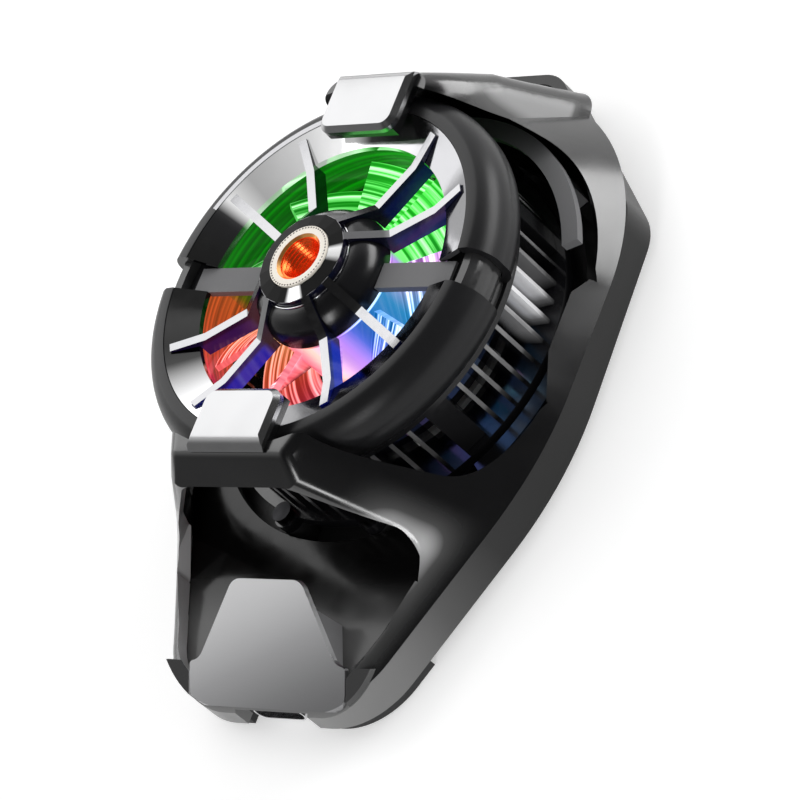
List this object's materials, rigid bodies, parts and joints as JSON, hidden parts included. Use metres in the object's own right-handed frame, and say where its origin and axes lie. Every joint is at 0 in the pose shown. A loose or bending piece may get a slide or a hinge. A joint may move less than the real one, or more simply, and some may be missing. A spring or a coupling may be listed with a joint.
{
  "type": "phone cooling fan",
  "caption": "Magnetic phone cooler with a lit fan in a guard ring over a finned heat sink, held by a glossy saddle frame on a slim base with a plug socket",
  "frame": {"origin": "centre of the cold plate's outer face, on the fan's axis", "axes": "+Z along the fan's axis away from the phone, +Y along the body's length towards its plain upper end, so that the plug socket is at -Y"},
  "size_m": [0.0658, 0.0987, 0.0311],
  "materials": {
    "frame_gloss": "high gloss, near black",
    "deck_gloss": "high gloss",
    "band_satin": "satin",
    "ring_satin": "satin",
    "liner_grey": "satin",
    "tip_chrome": "polished",
    "accent_metal": "brushed across",
    "funnel_chrome": "mirror bright",
    "guard_chrome": "mirror bright",
    "hub_gloss": "high gloss",
    "nozzle_copper": "polished copper colour",
    "bezel_cream": "satin",
    "rotor_clear": "milky, lit from below in many colours",
    "fin_black": "black, polished",
    "housing_black": "semi gloss",
    "plate_metal": "fine brushed",
    "pad_soft": "matt silicone",
    "steel": "bright",
    "magnet_grey": "nickel grey",
    "ceramic_white": "unglazed",
    "pellet_grey": "dull",
    "foam_black": "open foam",
    "bronze": "oiled sinter",
    "copper_wire": "enamelled",
    "board_green": "solder mask",
    "board_white": "solder mask",
    "chip_white": "clear over yellow",
    "diffuser_milk": "milky"
  },
  "bodies": {
    "housing": {"base_band": "band_satin", "back_cover": "housing_black", "case_screws": "steel", "lower_pads": "pad_soft", "upper_pads": "pad_soft", "cold_plate": "plate_metal", "magnet_pad": "pad_soft", "magnet_ring": "magnet_grey", "magnet_shunt": "steel", "cold_ceramic": "ceramic_white", "hot_ceramic": "ceramic_white", "pellets": "pellet_grey", "module_gasket": "foam_black", "heat_sink": "fin_black", "sink_screws": "steel", "deck": "deck_gloss", "front_frame": "frame_gloss", "lower_tip_cap": "tip_chrome", "upper_tip_cap": "tip_chrome", "accent_plate": "accent_metal", "tongue_base": "frame_gloss", "liner": "liner_grey", "fan_seat": "housing_black", "bearing_bush": "bronze", "stator_core": "steel", "stator_coils": "copper_wire", "driver_board": "board_green", "light_board": "board_white", "light_chips": "chip_white", "light_diffuser": "diffuser_milk", "fan_housing": "housing_black", "inner_ring": "ring_satin", "upper_ring_cover": "ring_satin", "lower_ring_cover": "ring_satin", "upper_funnel": "funnel_chrome", "lower_funnel": "funnel_chrome", "hub_dome": "hub_gloss", "nozzle": "nozzle_copper", "nozzle_bezel": "bezel_cream", "guard_spider": "guard_chrome", "right_guard_bar": "liner_grey", "left_guard_bar": "liner_grey", "main_board": "board_green", "socket_shell": "steel", "socket_tongue": "housing_black"},
    "rotor": {"impeller": "rotor_clear", "rotor_magnet": "magnet_grey", "rotor_yoke": "steel", "motor_shaft": "steel", "shaft_clip": "steel"}
  },
  "joints": [
    {"name": "fan_spin", "type": "hinge", "parent": "housing", "child": "rotor", "pos_m": [0, 0, 0.0134], "axis": [0, 0, 1], "continuous": true}
  ]
}
